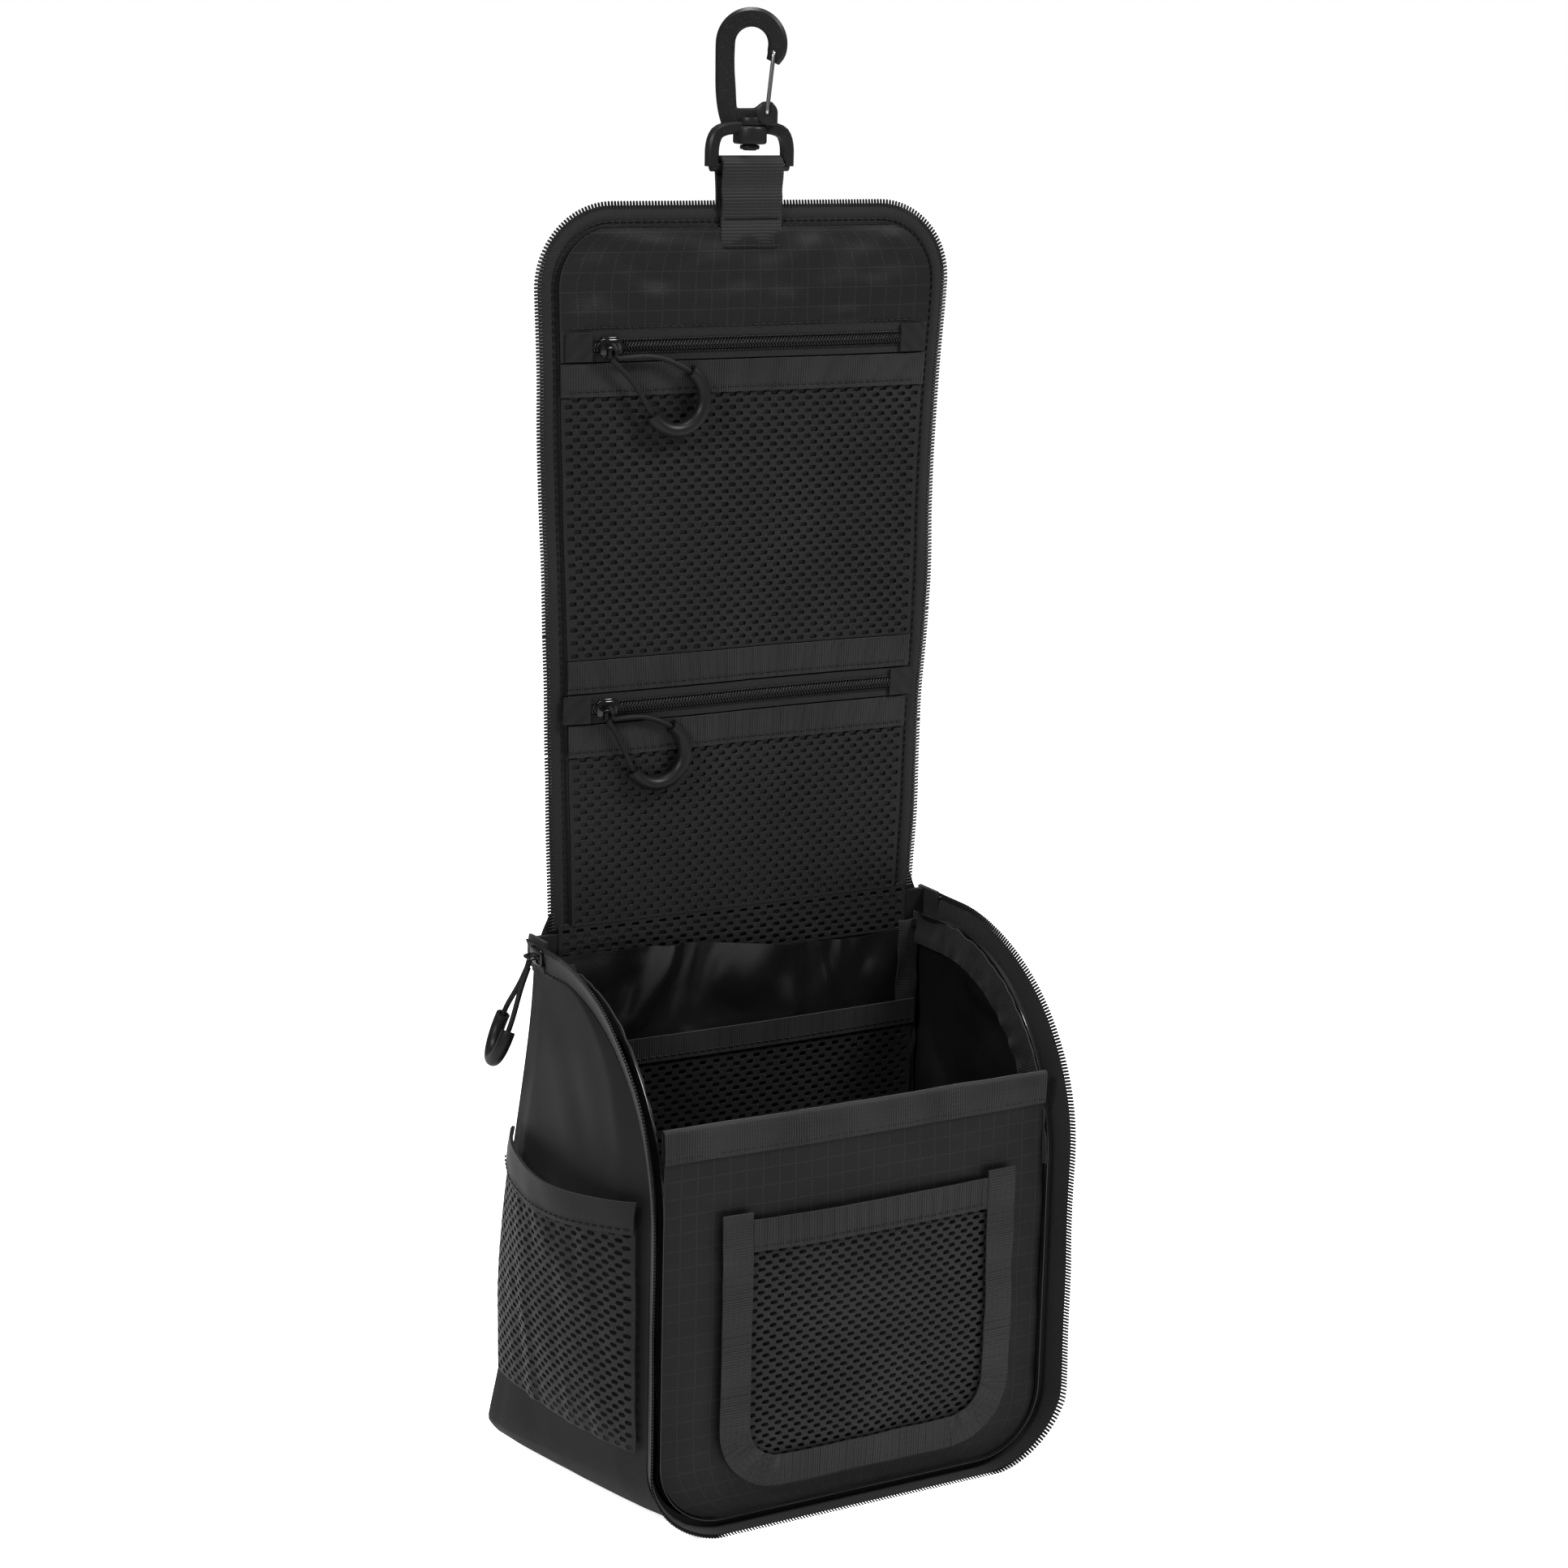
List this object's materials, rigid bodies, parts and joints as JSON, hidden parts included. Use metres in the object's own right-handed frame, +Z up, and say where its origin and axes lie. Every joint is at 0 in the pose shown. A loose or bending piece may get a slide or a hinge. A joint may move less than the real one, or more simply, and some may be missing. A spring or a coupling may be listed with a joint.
{
  "type": "hanging toiletry bag",
  "caption": "Hanging toiletry bag: soft boxy body with mesh pockets, a long zip-round lid that folds over it, and a swivel hook on a webbing loop.",
  "frame": {"origin": "centre of the underside of the base, which is the face that the bag stands on", "axes": "+X to the right seen from the front, +Y towards the back where the lid is hinged, +Z up to the hook"},
  "size_m": [0.2027, 0.1166, 0.5423],
  "materials": {
    "nylon": "plain woven black nylon, slightly shiny",
    "ripstop": "black ripstop nylon with a fine raised grid",
    "satin_lining": "thin black satin, soft highlights",
    "foam": "soft closed-cell foam, hidden",
    "mesh": "open knitted black mesh",
    "grosgrain": "ribbed black grosgrain tape",
    "elastic": "black elastic edged with folded fabric",
    "webbing": "heavy ribbed black webbing",
    "zip_tape": "black knitted zip tape",
    "zip_coil": "black nylon coil with small highlights",
    "slider_metal": "glossy black enamelled zinc",
    "pull_cord": "braided black cord",
    "grip_rubber": "smooth matte black rubber tube",
    "hook_plastic": "moulded black acetal with a fine satin texture",
    "gate_steel": "bright drawn steel wire"
  },
  "bodies": {
    "hook": {"hook_body": "hook_plastic"},
    "gate": {"hook_gate": "gate_steel"},
    "ring": {"swivel_ring": "hook_plastic"},
    "lid_front": {"hanger_strap": "webbing", "lid_skin_front": "nylon", "lid_lining_front": "ripstop", "lid_zip_front": "zip_coil", "upper_mesh_front": "mesh", "upper_grosgrain": "grosgrain", "lid_ripstop_panel": "ripstop", "upper_pocket_zip": "zip_coil"},
    "lid_shoulder_front": {"lid_skin_shoulder_front": "nylon", "lid_lining_shoulder_front": "ripstop", "lid_zip_shoulder_front": "zip_coil", "lower_grosgrain_above": "grosgrain", "upper_mesh_shoulder": "mesh"},
    "lid_shoulder_back": {"lid_skin_shoulder_back": "nylon", "lid_lining_shoulder_back": "ripstop", "lid_zip_shoulder_back": "zip_coil", "lower_grosgrain_below": "grosgrain", "lower_mesh_shoulder": "mesh", "lower_pocket_zip": "zip_coil"},
    "lid_crown": {"lid_skin_crown": "nylon", "lid_lining_crown": "ripstop", "lid_zip_crown": "zip_coil", "lower_mesh_crown": "mesh"},
    "upper_slider": {"upper_slider": "slider_metal"},
    "upper_pull": {"upper_pull_cord": "pull_cord", "upper_pull_grip": "grip_rubber"},
    "lower_slider": {"lower_slider": "slider_metal"},
    "lower_pull": {"lower_pull_cord": "pull_cord", "lower_pull_grip": "grip_rubber"},
    "main_pull": {"main_pull_cord": "pull_cord", "main_pull_grip": "grip_rubber"},
    "bag": {"back_outer": "nylon", "back_foam": "foam", "side_outer_left": "nylon", "side_outer_right": "nylon", "base_outer": "nylon", "body_foam": "foam", "body_lining": "satin_lining", "front_outer": "ripstop", "front_binding": "grosgrain", "body_zip_tape": "zip_tape", "body_zip_coil": "zip_coil", "inner_pocket_mesh": "mesh", "inner_pocket_binding": "grosgrain", "front_pocket_mesh": "mesh", "front_pocket_binding": "grosgrain", "front_pocket_edging": "grosgrain", "side_mesh_left": "mesh", "side_mesh_right": "mesh", "side_elastic_left": "elastic", "side_elastic_right": "elastic", "arch_binding_left": "grosgrain", "arch_binding_right": "grosgrain", "hinge_tabs": "webbing", "main_slider_left": "slider_metal", "main_slider_right": "slider_metal"}
  },
  "joints": [
    {"name": "hook_swivel", "type": "hinge", "parent": "hook", "child": "ring", "pos_m": [0, 0.052, 0.49344], "axis": [0, 0, 1], "continuous": true},
    {"name": "gate_open", "type": "hinge", "parent": "hook", "child": "gate", "pos_m": [0.00528, 0.04895, 0.50474], "axis": [-0.5, -0.866, 0], "range_deg": [0, 25], "stiffness_Nm_per_rad": 0.02, "springref_deg": -17.19},
    {"name": "ring_tilt", "type": "hinge", "parent": "ring", "child": "lid_front", "pos_m": [0, 0.052, 0.48544], "axis": [1, 0, 0], "range_deg": [-60, 60]},
    {"name": "lid_hinge", "type": "hinge", "parent": "lid_crown", "child": "bag", "pos_m": [0, 0.051, 0.203], "axis": [-1, 0, 0], "range_deg": [0, 89.5]},
    {"name": "lid_fold_back", "type": "hinge", "parent": "lid_shoulder_back", "child": "lid_crown", "pos_m": [0, 0.051, 0.24924], "axis": [-1, 0, 0], "range_deg": [0, 29.84]},
    {"name": "lid_fold_middle", "type": "hinge", "parent": "lid_shoulder_front", "child": "lid_shoulder_back", "pos_m": [0, 0.051, 0.29372], "axis": [-1, 0, 0], "range_deg": [0, 29.84]},
    {"name": "lid_fold_front", "type": "hinge", "parent": "lid_front", "child": "lid_shoulder_front", "pos_m": [0, 0.051, 0.3382], "axis": [-1, 0, 0], "range_deg": [0, 29.84]},
    {"name": "upper_zip_slide", "type": "slide", "parent": "lid_front", "child": "upper_slider", "axis": [-1, 0, 0], "range_m": [-0.116, 0]},
    {"name": "upper_pull_lift", "type": "hinge", "parent": "upper_slider", "child": "upper_pull", "pos_m": [-0.058, 0.0458, 0.42144], "axis": [1, 0, 0], "range_deg": [-150, 0]},
    {"name": "lower_zip_slide", "type": "slide", "parent": "lid_shoulder_back", "child": "lower_slider", "axis": [-1, 0, 0], "range_m": [-0.116, 0]},
    {"name": "lower_pull_lift", "type": "hinge", "parent": "lower_slider", "child": "lower_pull", "pos_m": [-0.058, 0.0458, 0.28812], "axis": [1, 0, 0], "range_deg": [-150, 0]},
    {"name": "main_pull_swing", "type": "hinge", "parent": "bag", "child": "main_pull", "pos_m": [-0.0902, 0.044, 0.1976], "axis": [0.342, 0.9397, 0], "range_deg": [0, 70]}
  ],
  "couplings": [
    {"joint": "lid_fold_back", "follows": "lid_hinge", "ratio": 0.3333},
    {"joint": "lid_fold_middle", "follows": "lid_hinge", "ratio": 0.3333},
    {"joint": "lid_fold_front", "follows": "lid_hinge", "ratio": 0.3333}
  ]
}
